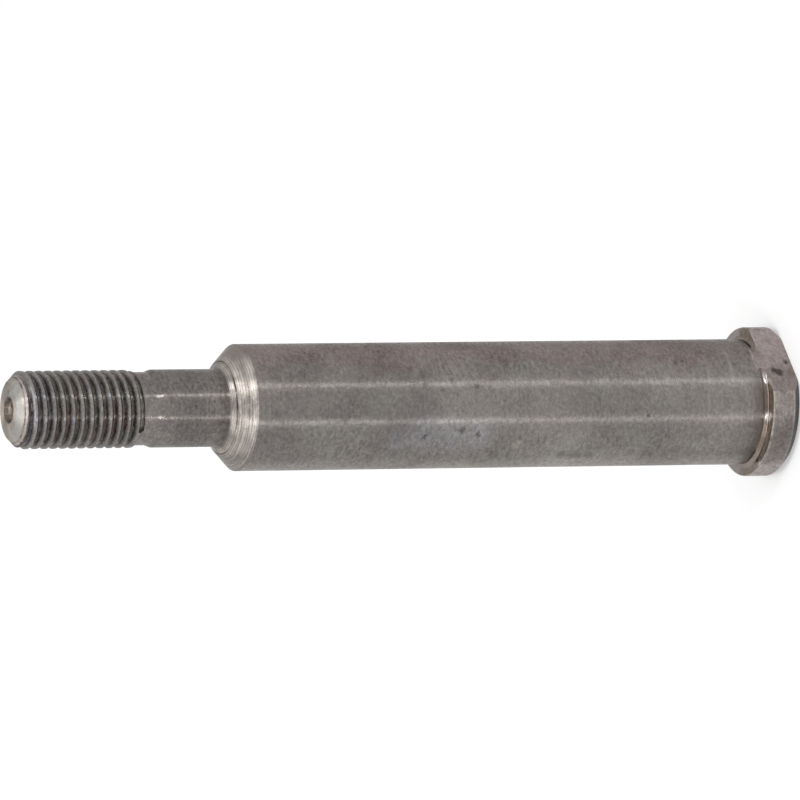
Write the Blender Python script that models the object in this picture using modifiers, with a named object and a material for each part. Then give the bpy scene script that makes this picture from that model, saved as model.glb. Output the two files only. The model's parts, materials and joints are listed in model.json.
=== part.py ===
"""Drawbar pin: one turned steel piece, with a head that has a milled flat, a plain shank,
a shoulder, a neck and a screwed end with a lathe centre.

Metres, +Z up. The pin stands on the outer face of its head, the origin is on its axis in
that face, and the flat of the head faces +X.
"""

import math

import bmesh
import bpy
from mathutils import Vector

MM = 0.001

# Head, and the edge of its seat face
HEAD_DIAMETER = 38.0 * MM
HEAD_THICKNESS = 8.0 * MM
HEAD_CHAMFER = 2.0 * MM
SEAT_EDGE_BREAK = 0.3 * MM

# Flat that keeps the pin from turning, and the face mill that cuts it
FLAT_FROM_AXIS = 15.5 * MM
FLAT_PAST_SEAT = 2.7 * MM
MILL_DIAMETER = 63.0 * MM

# Undercut in the shank, next to the seat face
UNDERCUT_WIDTH = 2.5 * MM
UNDERCUT_DEPTH = 0.25 * MM
UNDERCUT_RAMP = math.radians(15.0)
UNDERCUT_FILLET = 1.0 * MM

# Shank and shoulder
SHANK_DIAMETER = 32.0 * MM
SHANK_LENGTH = 140.3 * MM
SHOULDER_CHAMFER = 3.8 * MM
SHOULDER_SLOPE = math.radians(31.0)
SHOULDER_FILLET = 0.8 * MM

# Neck, and the relief between it and the thread
NECK_DIAMETER = 19.6 * MM
NECK_LENGTH = 17.7 * MM
RELIEF_DEPTH = 0.6 * MM
RELIEF_LENGTH = 4.3 * MM
RELIEF_RUN = 1.5 * MM
RELIEF_FILLET = 1.0 * MM

# Screwed end: a right-hand metric thread, 20 mm by 2.5 mm
THREAD_DIAMETER = 20.0 * MM
THREAD_PITCH = 2.5 * MM
THREAD_FLANK = math.radians(30.0)
CREST_ALLOWANCE = 0.2 * MM
SCREWED_LENGTH = 31.6 * MM
GROOVE_LENGTH = 32.0 * MM
GROOVE_END_ANGLE = math.radians(-81.0)
END_CHAMFER = 2.0 * MM

# Crown of the end face, and the lathe centre in it
END_CROWN = 0.75 * MM
CENTRE_MOUTH_DIAMETER = 6.3 * MM
CENTRE_PILOT_DIAMETER = 2.5 * MM
CENTRE_PILOT_DEPTH = 1.6 * MM
CENTRE_CONE = math.radians(30.0)
PILOT_TIP = math.radians(59.0)

# How round surfaces are divided, and how far the cutters reach past the pin
TURN_STEPS = 48
FILLET_STEPS = 4
CROWN_STEPS = 4
MILL_STEPS = 160
CUTTER_MARGIN = 5.0 * MM
CREST_MARGIN = 0.2 * MM
MERGE_DISTANCE = 0.00001
SHARP_ANGLE = math.radians(25.0)

# Oiled, bare steel
STEEL_COLOUR = (0.16, 0.155, 0.15, 1.0)
STEEL_ROUGHNESS = 0.42

SHANK_RADIUS = SHANK_DIAMETER / 2
NECK_RADIUS = NECK_DIAMETER / 2
CREST_RADIUS = THREAD_DIAMETER / 2 - CREST_ALLOWANCE
CHAMFER_TOP_RADIUS = SHANK_RADIUS - SHOULDER_CHAMFER

# Heights along the axis, from the outer face of the head
SEAT = HEAD_THICKNESS
SHANK_TOP = SEAT + SHANK_LENGTH
CHAMFER_TOP = SHANK_TOP + SHOULDER_CHAMFER
NECK_FOOT = CHAMFER_TOP + (CHAMFER_TOP_RADIUS - NECK_RADIUS) * math.tan(SHOULDER_SLOPE)
NECK_TOP = NECK_FOOT + NECK_LENGTH
RELIEF_FOOT = NECK_TOP + RELIEF_RUN
RELIEF_TOP = RELIEF_FOOT + RELIEF_LENGTH
END_EDGE = RELIEF_TOP + SCREWED_LENGTH
MOUTH_TOP = END_EDGE + END_CROWN


def clear_scene():
    for item in list(bpy.data.objects):
        bpy.data.objects.remove(item, do_unlink=True)


def new_collection(name):
    collection = bpy.data.collections.new(name)
    bpy.context.scene.collection.children.link(collection)
    return collection


def corner_points(before, corner, after, radius):
    """The arc that rounds a corner of an outline, tangent to both its sides."""
    if not radius:
        return [corner]
    way_in = (before - corner).normalized()
    way_out = (after - corner).normalized()
    half = way_in.angle(way_out) / 2
    centre = corner + (way_in + way_out).normalized() * radius / math.sin(half)
    first = (corner + way_in * radius / math.tan(half) - centre).normalized()
    last = (corner + way_out * radius / math.tan(half) - centre).normalized()
    shares = [step / FILLET_STEPS for step in range(FILLET_STEPS + 1)]
    return [centre + first.slerp(last, share) * radius for share in shares]


def centre_hole_corners():
    """The bored surface, from the tip of the pilot up to the cone's mouth."""
    mouth = CENTRE_MOUTH_DIAMETER / 2
    pilot = CENTRE_PILOT_DIAMETER / 2
    cone_foot = MOUTH_TOP - (mouth - pilot) / math.tan(CENTRE_CONE)
    pilot_foot = cone_foot - CENTRE_PILOT_DEPTH
    tip = pilot_foot - pilot / math.tan(PILOT_TIP)
    return [(0, tip, 0), (pilot, pilot_foot, 0), (pilot, cone_foot, 0)]


def end_face_corners():
    """The crowned end face, from the mouth of the centre hole out to its edge."""
    mouth = CENTRE_MOUTH_DIAMETER / 2
    edge = CREST_RADIUS - END_CHAMFER
    corners = []
    for step in range(CROWN_STEPS + 1):
        radius = mouth + (edge - mouth) * step / CROWN_STEPS
        drop = END_CROWN * (radius**2 - mouth**2) / (edge**2 - mouth**2)
        corners.append((radius, MOUTH_TOP - drop, 0))
    return corners


def outer_corners():
    """Radius, height and fillet of each outer corner, from the end chamfer down to the head."""
    relief_radius = NECK_RADIUS - RELIEF_DEPTH
    floor_radius = SHANK_RADIUS - UNDERCUT_DEPTH
    ramp_foot = SEAT + UNDERCUT_WIDTH - UNDERCUT_DEPTH / math.tan(UNDERCUT_RAMP)
    head_radius = HEAD_DIAMETER / 2
    return [
        (CREST_RADIUS, END_EDGE - END_CHAMFER, 0),
        (CREST_RADIUS, RELIEF_TOP, 0),
        (relief_radius, RELIEF_TOP - (CREST_RADIUS - relief_radius), 0),
        (relief_radius, RELIEF_FOOT, RELIEF_FILLET),
        (NECK_RADIUS, NECK_TOP, RELIEF_FILLET),
        (NECK_RADIUS, NECK_FOOT, SHOULDER_FILLET),
        (CHAMFER_TOP_RADIUS, CHAMFER_TOP, 0),
        (SHANK_RADIUS, SHANK_TOP, 0),
        (SHANK_RADIUS, SEAT + UNDERCUT_WIDTH, 0),
        (floor_radius, ramp_foot, 0),
        (floor_radius, SEAT, UNDERCUT_FILLET),
        (head_radius - SEAT_EDGE_BREAK, SEAT, 0),
        (head_radius, SEAT - SEAT_EDGE_BREAK, 0),
        (head_radius, HEAD_CHAMFER, 0),
        (head_radius - HEAD_CHAMFER, 0, 0),
        (0, 0, 0),
    ]


def outline_points():
    """The pin's half section, from the axis in the centre hole round to the axis below."""
    corners = centre_hole_corners() + end_face_corners() + outer_corners()
    places = [Vector((radius, height)) for radius, height, fillet in corners]
    points = [places[0]]
    for i in range(1, len(corners) - 1):
        points += corner_points(places[i - 1], places[i], places[i + 1], corners[i][2])
    return points + [places[-1]]


def profile_object(name, points, closed, collection):
    """An outline of radii and heights as a mesh of edges in the XZ plane."""
    shape = bmesh.new()
    verts = [shape.verts.new((point[0], 0, point[1])) for point in points]
    for first, second in zip(verts, verts[1:]):
        shape.edges.new((first, second))
    if closed:
        shape.edges.new((verts[-1], verts[0]))
    mesh = bpy.data.meshes.new(name)
    shape.to_mesh(mesh)
    shape.free()
    item = bpy.data.objects.new(name, mesh)
    collection.objects.link(item)
    return item


def add_screw(item, angle, rise, steps):
    screw = item.modifiers.new("turn", "SCREW")
    screw.axis = "Z"
    screw.angle = angle
    screw.screw_offset = rise
    screw.steps = steps
    screw.render_steps = steps
    screw.use_merge_vertices = rise == 0
    screw.merge_threshold = MERGE_DISTANCE


def bake_modifiers(item):
    """Gives the object the mesh that its modifiers make, and clears them."""
    bpy.context.view_layer.update()
    graph = bpy.context.evaluated_depsgraph_get()
    baked = bpy.data.meshes.new_from_object(item.evaluated_get(graph))
    baked.name = item.name
    item.modifiers.clear()
    item.data = baked


def hide_cutter(item):
    item.hide_render = True
    item.display_type = "WIRE"


def flat_cutter(collection):
    """The face mill's path past the head: a disc whose lower face is the flat, and whose
    rim gives the flat its rounded end in the shank."""
    depth = HEAD_DIAMETER / 2 - FLAT_FROM_AXIS + CUTTER_MARGIN
    shape = bmesh.new()
    bmesh.ops.create_cone(
        shape,
        cap_ends=True,
        segments=MILL_STEPS,
        radius1=MILL_DIAMETER / 2,
        radius2=MILL_DIAMETER / 2,
        depth=depth,
    )
    mesh = bpy.data.meshes.new("flat_cutter")
    shape.to_mesh(mesh)
    shape.free()
    cutter = bpy.data.objects.new("flat_cutter", mesh)
    cutter.rotation_euler = (0, math.pi / 2, 0)
    cutter.location = (FLAT_FROM_AXIS + depth / 2, 0, SEAT + FLAT_PAST_SEAT - MILL_DIAMETER / 2)
    collection.objects.link(cutter)
    hide_cutter(cutter)
    return cutter


def groove_section():
    """The thread's groove as radii and heights: a flat root and 60 degree flanks."""
    sharp_height = THREAD_PITCH / (2 * math.tan(THREAD_FLANK))
    root = THREAD_DIAMETER / 2 - sharp_height * 17 / 24
    apex = THREAD_DIAMETER / 2 - sharp_height * 7 / 8
    outer = CREST_RADIUS + CREST_MARGIN
    root_half = (root - apex) * math.tan(THREAD_FLANK)
    outer_half = (outer - apex) * math.tan(THREAD_FLANK)
    return [(root, -root_half), (root, root_half), (outer, outer_half), (outer, -outer_half)]


def thread_cutter(collection):
    """The sweep of the groove, from its blunt end by the relief up past the end face."""
    turns = GROOVE_LENGTH / THREAD_PITCH + 1
    cutter = profile_object("thread_cutter", groove_section(), True, collection)
    add_screw(cutter, 2 * math.pi * turns, THREAD_PITCH * turns, round(TURN_STEPS * turns))
    bake_modifiers(cutter)
    shape = bmesh.new()
    shape.from_mesh(cutter.data)
    ends = [edge for edge in shape.edges if edge.is_boundary]
    bmesh.ops.holes_fill(shape, edges=ends, sides=len(groove_section()))
    bmesh.ops.recalc_face_normals(shape, faces=shape.faces)
    shape.to_mesh(cutter.data)
    shape.free()
    cutter.rotation_euler = (0, 0, GROOVE_END_ANGLE)
    cutter.location = (0, 0, END_EDGE - GROOVE_LENGTH)
    hide_cutter(cutter)
    return cutter


def cut_away(item, cutter):
    cut = item.modifiers.new(cutter.name, "BOOLEAN")
    cut.operation = "DIFFERENCE"
    cut.solver = "EXACT"
    cut.object = cutter


def steel():
    material = bpy.data.materials.new("bare_steel")
    material.use_nodes = True
    shader = material.node_tree.nodes["Principled BSDF"]
    shader.inputs["Base Color"].default_value = STEEL_COLOUR
    shader.inputs["Metallic"].default_value = 1.0
    shader.inputs["Roughness"].default_value = STEEL_ROUGHNESS
    return material


def drawbar_pin(parts, cutters):
    pin = profile_object("drawbar_pin", outline_points(), False, parts)
    add_screw(pin, 2 * math.pi, 0, TURN_STEPS)
    cut_away(pin, flat_cutter(cutters))
    cut_away(pin, thread_cutter(cutters))
    bake_modifiers(pin)
    pin.data.shade_smooth()
    pin.data.set_sharp_from_angle(angle=SHARP_ANGLE)
    pin.data.materials.clear()
    pin.data.materials.append(steel())
    return pin


def main():
    clear_scene()
    drawbar_pin(new_collection("drawbar_pin"), new_collection("cutters"))


main()
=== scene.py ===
"""Looks of the drawbar pin: one fine mesh of the turned piece, with its thread, tool passes
and flat, and the finish of bare, oiled and lightly rusted steel.

Metres, +Z up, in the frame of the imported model: the pin stands on the outer face of its
head, with its axis on Z and the head's flat facing +X.
"""

import json
import math

import bmesh
import bpy
from mathutils import Matrix, Vector


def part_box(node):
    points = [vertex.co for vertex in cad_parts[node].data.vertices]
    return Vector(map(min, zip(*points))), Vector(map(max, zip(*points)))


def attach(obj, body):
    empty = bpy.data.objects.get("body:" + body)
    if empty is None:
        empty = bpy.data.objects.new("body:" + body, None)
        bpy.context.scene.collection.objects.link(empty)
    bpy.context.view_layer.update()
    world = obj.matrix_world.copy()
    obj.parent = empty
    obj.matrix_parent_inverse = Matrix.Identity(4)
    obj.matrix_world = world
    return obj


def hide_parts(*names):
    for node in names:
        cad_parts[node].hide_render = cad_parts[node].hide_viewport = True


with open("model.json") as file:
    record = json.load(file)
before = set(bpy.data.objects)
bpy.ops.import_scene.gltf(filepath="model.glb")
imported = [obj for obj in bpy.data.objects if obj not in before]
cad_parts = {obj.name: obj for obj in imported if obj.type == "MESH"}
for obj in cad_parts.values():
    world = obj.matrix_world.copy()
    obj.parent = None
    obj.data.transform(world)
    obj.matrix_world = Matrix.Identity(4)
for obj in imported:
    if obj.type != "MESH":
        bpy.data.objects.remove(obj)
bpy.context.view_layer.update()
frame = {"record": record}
NODE = "drawbar_pin"
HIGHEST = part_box(NODE)[1]

MM = 0.001

# Sizes that the frame gives
MOUTH_TOP = HIGHEST.z
HEAD_RADIUS = HIGHEST.y
MOUNTS = {mount["name"]: mount["pos_m"] for mount in frame["record"]["mounts"]}
SEAT = MOUNTS["head_seat_face"][2]
FLAT_FROM_AXIS = MOUNTS["anti_rotation_flat"][0]

# Head
HEAD_CHAMFER = 2.0 * MM
SEAT_EDGE_ROUND = 0.3 * MM
RIM_ROUND = 0.25 * MM
FLAT_PAST_SEAT = 2.7 * MM
MILL_RADIUS = 31.5 * MM
FLAT_GRID = 0.5 * MM
CUTTER_OVERRUN = 5.0 * MM

# Undercut and shank
UNDERCUT_WIDTH = 2.5 * MM
UNDERCUT_DEPTH = 0.25 * MM
UNDERCUT_RAMP = math.radians(15.0)
UNDERCUT_FILLET = 1.0 * MM
UNDERCUT_FLOOR = UNDERCUT_WIDTH - UNDERCUT_DEPTH / math.tan(UNDERCUT_RAMP)
SHANK_RADIUS = 16.0 * MM
SHANK_LENGTH = 140.3 * MM
SHANK_RINGS = 60

# Shoulder
SHOULDER_CHAMFER = 3.8 * MM
SHOULDER_SLOPE = math.radians(31.0)
SHOULDER_FILLET = 0.8 * MM
CHAMFER_PASSES = 8
PASS_DEPTH = 0.006 * MM
PASS_STEPS = 5
NOTCH_WIDTH = 0.3 * MM
NOTCH_DEPTH = 0.12 * MM
NOTCH_LAND = 0.4 * MM

# Neck and relief
NECK_RADIUS = 9.8 * MM
NECK_LENGTH = 17.7 * MM
RELIEF_DEPTH = 0.6 * MM
RELIEF_RUN = 1.5 * MM
RELIEF_FILLET = 1.0 * MM
RELIEF_ROUND = 0.2 * MM
SCREWED_LENGTH = 31.6 * MM

# Thread and end. The groove's sharp apex and its root lie below the thread's radius by
# shares of the height of the sharp thread.
THREAD_RADIUS = 10.0 * MM
CREST_ALLOWANCE = 0.2 * MM
CREST_MARGIN = 0.2 * MM
THREAD_PITCH = 2.5 * MM
THREAD_FLANK = math.radians(30.0)
APEX_SHARE = 7 / 8
ROOT_SHARE = 17 / 24
ROOT_ROUND = 0.2 * MM
GROOVE_LENGTH = 32.0 * MM
GROOVE_END_ANGLE = math.radians(-81.0)
EDGE_ROUND = 0.1 * MM
END_CHAMFER = 2.0 * MM
END_CROWN = 0.75 * MM
CROWN_STEPS = 10
END_PASSES = 3
END_PASS_DEPTH = 0.05 * MM
CENTRE_MOUTH_RADIUS = 3.15 * MM
CENTRE_PILOT_RADIUS = 1.25 * MM
CENTRE_PILOT_DEPTH = 1.6 * MM
CENTRE_CONE = math.radians(30.0)
PILOT_TIP = math.radians(59.0)

# Mesh
TURN_STEPS = 180
FILLET_STEPS = 6
MERGE_DISTANCE = 0.01 * MM
SHARP_ANGLE = math.radians(28.0)

# Places that follow from the sizes
CREST_RADIUS = THREAD_RADIUS - CREST_ALLOWANCE
END_EDGE = MOUTH_TOP - END_CROWN
FACE_RADIUS = CREST_RADIUS - END_CHAMFER
CHAMFER_TOP_RADIUS = SHANK_RADIUS - SHOULDER_CHAMFER
NOTCH_RADIUS = CHAMFER_TOP_RADIUS - NOTCH_LAND
FILLET_OUTER_RADIUS = SHANK_RADIUS - UNDERCUT_DEPTH + UNDERCUT_FILLET
SHANK_TOP = SEAT + SHANK_LENGTH
CHAMFER_TOP = SHANK_TOP + SHOULDER_CHAMFER
NECK_FOOT = CHAMFER_TOP + (CHAMFER_TOP_RADIUS - NECK_RADIUS) * math.tan(SHOULDER_SLOPE)
NECK_TOP = NECK_FOOT + NECK_LENGTH
RELIEF_FOOT = NECK_TOP + RELIEF_RUN
RELIEF_TOP = END_EDGE - SCREWED_LENGTH
RELIEF_RADIUS = NECK_RADIUS - RELIEF_DEPTH

# Which faces belong to a zone: how far the middle of a face may lie off the zone's border,
# how far down from the end face its centre hole reaches, and the least share of a face's
# normal that points out of the flat and out of the end face
BORDER_SLACK = 0.01 * MM
NECK_SLACK = 0.05 * MM
END_SLACK = 0.1 * MM
END_REACH = 8.0 * MM
OUT_OF_FLAT = 0.9
OUT_OF_END = 0.95

# Camera: a long lens that looks down on the standing pin and lies on its side
VIEW_AZIMUTH = math.radians(-43.0)
VIEW_ELEVATION = math.radians(23.1)
VIEW_ROLL = math.radians(-0.66)
VIEW_DISTANCE = 3.5
VIEW_HEIGHT = 103.2 * MM
VIEW_RAISE = 1.43 * MM
LENS = 623.7
SENSOR = 36.0
CLIP_START = 0.1
CLIP_END = 50.0

# Lamps: two strips, each turned from the camera's azimuth, and one above
STRIP_DISTANCE = 1.2
STRIP_HEIGHT = 1.2
STRIP_WIDTH = 0.05
UPPER_TURN = math.radians(38.0)
UPPER_RADIANCE = 13.5
LOWER_TURN = math.radians(-28.0)
LOWER_RADIANCE = 11.5
TOP_PLACE = (0.05, -0.05, 1.1)
TOP_SIZE = 1.0
TOP_RADIANCE = 1.7

# Floor and world
FLOOR_HALF = 6.0
FLOOR_COLOUR = (0.8, 0.8, 0.8, 1.0)
FLOOR_GLOW = 0.3
WORLD_FILL = 0.62
WHITE = (1.0, 1.0, 1.0, 1.0)


def corner_points(before, corner, after, radius):
    """The arc that rounds a corner of an outline, tangent to both its sides."""
    if not radius:
        return [corner]
    way_in = (before - corner).normalized()
    way_out = (after - corner).normalized()
    half = way_in.angle(way_out) / 2
    centre = corner + (way_in + way_out).normalized() * radius / math.sin(half)
    first = (corner + way_in * radius / math.tan(half) - centre).normalized()
    last = (corner + way_out * radius / math.tan(half) - centre).normalized()
    shares = [step / FILLET_STEPS for step in range(FILLET_STEPS + 1)]
    return [centre + first.slerp(last, share) * radius for share in shares]


def rounded(corners):
    """Points of an outline from its corners, each given as radius, height and fillet."""
    places = [Vector((radius, height)) for radius, height, fillet in corners]
    points = [places[0]]
    for i in range(1, len(corners) - 1):
        points += corner_points(places[i - 1], places[i], places[i + 1], corners[i][2])
    return points + [places[-1]]


def scalloped(start, end, passes, depth):
    """Inner points of a turned line that a round-nosed tool left as shallow hollows."""
    start, end = Vector(start), Vector(end)
    along = end - start
    inward = Vector((along.y, -along.x)).normalized()
    if inward.x > 0:
        inward = -inward
    points = []
    for step in range(1, passes * PASS_STEPS):
        share = step / (passes * PASS_STEPS)
        place = (share * passes) % 1
        points.append(start + along * share + inward * depth * 4 * place * (1 - place))
    return points


def crown_points():
    """Places of the crowned end face, from the mouth of the centre hole out to its edge."""
    points = []
    for step in range(1, CROWN_STEPS):
        radius = CENTRE_MOUTH_RADIUS + (FACE_RADIUS - CENTRE_MOUTH_RADIUS) * step / CROWN_STEPS
        drop = (radius**2 - CENTRE_MOUTH_RADIUS**2) / (FACE_RADIUS**2 - CENTRE_MOUTH_RADIUS**2)
        points.append((radius, MOUTH_TOP - END_CROWN * drop, 0))
    return points


def end_outline():
    """From the axis in the centre hole over the end face down to the screwed part."""
    cone_foot = MOUTH_TOP - (CENTRE_MOUTH_RADIUS - CENTRE_PILOT_RADIUS) / math.tan(CENTRE_CONE)
    pilot_foot = cone_foot - CENTRE_PILOT_DEPTH
    edge = (FACE_RADIUS, END_EDGE)
    rim = (CREST_RADIUS, END_EDGE - END_CHAMFER)
    face = [
        (0, pilot_foot - CENTRE_PILOT_RADIUS / math.tan(PILOT_TIP), 0),
        (CENTRE_PILOT_RADIUS, pilot_foot, EDGE_ROUND),
        (CENTRE_PILOT_RADIUS, cone_foot, EDGE_ROUND),
        (CENTRE_MOUTH_RADIUS, MOUTH_TOP, EDGE_ROUND),
        *crown_points(),
        (*edge, EDGE_ROUND),
        (*rim, 0),
    ]
    return rounded(face)[:-1] + scalloped(edge, rim, END_PASSES, END_PASS_DEPTH)[1:]


def neck_outline():
    """From the screwed part over the relief and the neck to the top of the shoulder."""
    slope = math.tan(SHOULDER_SLOPE)
    notch_top = CHAMFER_TOP + NOTCH_LAND * slope
    return rounded(
        [
            (CREST_RADIUS, END_EDGE - END_CHAMFER, 0),
            (CREST_RADIUS, RELIEF_TOP, EDGE_ROUND),
            (RELIEF_RADIUS, RELIEF_TOP - (CREST_RADIUS - RELIEF_RADIUS), RELIEF_ROUND),
            (RELIEF_RADIUS, RELIEF_FOOT, RELIEF_FILLET),
            (NECK_RADIUS, NECK_TOP, RELIEF_FILLET),
            (NECK_RADIUS, NECK_FOOT, SHOULDER_FILLET),
            (NOTCH_RADIUS - NOTCH_WIDTH, notch_top + NOTCH_WIDTH * slope, 0),
            (NOTCH_RADIUS - NOTCH_WIDTH / 2, notch_top - NOTCH_DEPTH, 0),
            (NOTCH_RADIUS, notch_top, 0),
            (CHAMFER_TOP_RADIUS, CHAMFER_TOP, 0),
        ]
    )


def shank_outline():
    """The shoulder's chamfer and the shank, which is cut into even rings."""
    top = (CHAMFER_TOP_RADIUS, CHAMFER_TOP)
    foot = (SHANK_RADIUS, SHANK_TOP)
    step = (SHANK_LENGTH - UNDERCUT_WIDTH) / SHANK_RINGS
    rings = [Vector((SHANK_RADIUS, SHANK_TOP - i * step)) for i in range(SHANK_RINGS)]
    return scalloped(top, foot, CHAMFER_PASSES, PASS_DEPTH) + rings


def head_outline():
    """From the foot of the shank over the undercut and the head to the axis below."""
    floor_radius = SHANK_RADIUS - UNDERCUT_DEPTH
    return rounded(
        [
            (SHANK_RADIUS, SEAT + UNDERCUT_WIDTH, 0),
            (floor_radius, SEAT + UNDERCUT_FLOOR, 0),
            (floor_radius, SEAT, UNDERCUT_FILLET),
            (HEAD_RADIUS, SEAT, SEAT_EDGE_ROUND),
            (HEAD_RADIUS, HEAD_CHAMFER, RIM_ROUND),
            (HEAD_RADIUS - HEAD_CHAMFER, 0, RIM_ROUND),
            (0, 0, 0),
        ]
    )


def new_object(name, data):
    item = bpy.data.objects.new(name, data)
    bpy.context.scene.collection.objects.link(item)
    return item


def profile_object(name, points, closed):
    """An outline of radii and heights as a mesh of edges in the XZ plane."""
    shape = bmesh.new()
    verts = [shape.verts.new((point[0], 0, point[1])) for point in points]
    for first, second in zip(verts, verts[1:]):
        shape.edges.new((first, second))
    if closed:
        shape.edges.new((verts[-1], verts[0]))
    return new_object(name, mesh_of(name, shape))


def mesh_of(name, shape):
    """A mesh from a finished bmesh, which is freed."""
    mesh = bpy.data.meshes.new(name)
    shape.to_mesh(mesh)
    shape.free()
    return mesh


def add_screw(item, angle, rise, steps):
    screw = item.modifiers.new("turn", "SCREW")
    screw.axis = "Z"
    screw.angle = angle
    screw.screw_offset = rise
    screw.steps = steps
    screw.render_steps = steps
    screw.use_merge_vertices = rise == 0
    screw.merge_threshold = MERGE_DISTANCE


def bake_modifiers(item):
    """Gives the object the mesh that its modifiers make, and clears them."""
    bpy.context.view_layer.update()
    graph = bpy.context.evaluated_depsgraph_get()
    baked = bpy.data.meshes.new_from_object(item.evaluated_get(graph))
    baked.name = item.name
    item.modifiers.clear()
    item.data = baked


def flat_cutter():
    """A block whose inner side is the head's flat, in fine squares, and whose upper end
    follows the rim of the face mill."""
    half_width = HEAD_RADIUS
    low = -CUTTER_OVERRUN
    columns = round(2 * half_width / FLAT_GRID)
    rows = round((SEAT + FLAT_PAST_SEAT - low) / FLAT_GRID)
    shape = bmesh.new()
    bmesh.ops.create_grid(shape, x_segments=columns, y_segments=rows, size=1)
    for vert in shape.verts:
        across = vert.co.x * half_width
        top = SEAT + FLAT_PAST_SEAT - MILL_RADIUS + math.sqrt(MILL_RADIUS**2 - across**2)
        vert.co = (FLAT_FROM_AXIS, across, low + (top - low) * (vert.co.y + 1) / 2)
    sides = bmesh.ops.extrude_face_region(shape, geom=shape.faces[:])["geom"]
    moved = [item for item in sides if isinstance(item, bmesh.types.BMVert)]
    bmesh.ops.translate(shape, verts=moved, vec=(HEAD_RADIUS, 0, 0))
    bmesh.ops.recalc_face_normals(shape, faces=shape.faces)
    return new_object("flat_cutter", mesh_of("flat_cutter", shape))


def groove_section():
    """The thread's groove as radii and heights, with 60 degree flanks and a round root."""
    sharp_height = THREAD_PITCH / (2 * math.tan(THREAD_FLANK))
    apex = THREAD_RADIUS - sharp_height * APEX_SHARE
    root = THREAD_RADIUS - sharp_height * ROOT_SHARE
    outer = CREST_RADIUS + CREST_MARGIN
    outer_half = (outer - apex) * math.tan(THREAD_FLANK)
    root_half = (root - apex) * math.tan(THREAD_FLANK)
    return rounded(
        [
            (outer, -outer_half, 0),
            (root, -root_half, ROOT_ROUND),
            (root, root_half, ROOT_ROUND),
            (outer, outer_half, 0),
        ]
    )


def thread_cutter():
    """The sweep of the groove, from its blunt end by the relief up past the end face."""
    turns = GROOVE_LENGTH / THREAD_PITCH + 1
    section = groove_section()
    cutter = profile_object("thread_cutter", section, True)
    add_screw(cutter, 2 * math.pi * turns, THREAD_PITCH * turns, round(TURN_STEPS * turns))
    bake_modifiers(cutter)
    shape = bmesh.new()
    shape.from_mesh(cutter.data)
    ends = [edge for edge in shape.edges if edge.is_boundary]
    bmesh.ops.holes_fill(shape, edges=ends, sides=len(section))
    bmesh.ops.recalc_face_normals(shape, faces=shape.faces)
    shape.to_mesh(cutter.data)
    shape.free()
    cutter.rotation_euler = (0, 0, GROOVE_END_ANGLE)
    cutter.location = (0, 0, END_EDGE - GROOVE_LENGTH)
    return cutter


def cut_away(item, cutter):
    cut = item.modifiers.new(cutter.name, "BOOLEAN")
    cut.operation = "DIFFERENCE"
    cut.solver = "EXACT"
    cut.object = cutter


def zone_of(centre, normal):
    """Which finish a face takes, from its place on the pin."""
    radius = math.hypot(centre.x, centre.y)
    on_flat = abs(centre.x - FLAT_FROM_AXIS) < BORDER_SLACK and normal.x > OUT_OF_FLAT
    if on_flat and centre.z < SEAT + FLAT_PAST_SEAT:
        return "flat"
    if centre.z < SEAT - BORDER_SLACK:
        return "head"
    if centre.z < SEAT + UNDERCUT_FLOOR:
        return "undercut"
    if centre.z < SHANK_TOP:
        return "shank"
    if centre.z < NECK_FOOT:
        return "shoulder"
    if centre.z < RELIEF_TOP - RELIEF_DEPTH and radius > RELIEF_RADIUS - NECK_SLACK:
        return "neck"
    chamfer_radius = FACE_RADIUS + END_EDGE - centre.z
    if centre.z > END_EDGE - END_CHAMFER and radius > chamfer_radius - END_SLACK:
        return "end"
    in_hole = radius < CENTRE_MOUTH_RADIUS + END_SLACK
    if centre.z > END_EDGE - END_REACH and (in_hole or normal.z > OUT_OF_END):
        return "end"
    return "thread"


def tone(red, green, blue):
    """A colour read as screen values from 0 to 255, as the linear colour that gives it."""
    shares = [value / 255 for value in (red, green, blue)]
    return tuple(((share + 0.055) / 1.055) ** 2.4 for share in shares) + (1.0,)


# Directions round the axis: up and down in the picture, towards the camera and away from
# it, the side of the brown film, along which shade and light are also painted, the sides
# along which the neck and the end face are painted in shade and light, the way across the
# flat and the side where the flat is darker
PICTURE_TOP = math.radians(47.0)
PICTURE_FOOT = math.radians(-133.0)
NEAR_SIDE = math.radians(-45.0)
FAR_SIDE = math.radians(137.0)
BROWN_SIDE = math.radians(50.0)
NECK_SHADE_SIDE = math.radians(40.0)
END_LIT_SIDE = math.radians(-50.0)
FLAT_ACROSS = math.radians(90.0)
FLAT_DARK_SIDE = math.radians(-90.0)

# Scales of the noises that the finishes share, in features to the metre. Three values
# stretch a noise: the last is along the axis.
GRAIN_SCALE = 1150.0
DASH_SCALE = (620.0, 620.0, 1500.0)
PATCH_SCALE = 45.0
CLUSTER_SCALE = 420.0
RING_SCALE = (60.0, 60.0, 2600.0)
PORE_SCALE = 1300.0
SMEAR_SCALE = (600.0, 600.0, 1500.0)
RUB_SCALE = 70.0
WOBBLE_SCALE = 1400.0
WOBBLE = 1.6 * MM
GRAIN_SHARE = 0.95

# Tints of the metal where it is seen at a slant
EDGE_TINT = (0.76, 0.75, 0.74, 1.0)
HEAD_EDGE_TINT = (0.95, 0.94, 0.93, 1.0)
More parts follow.
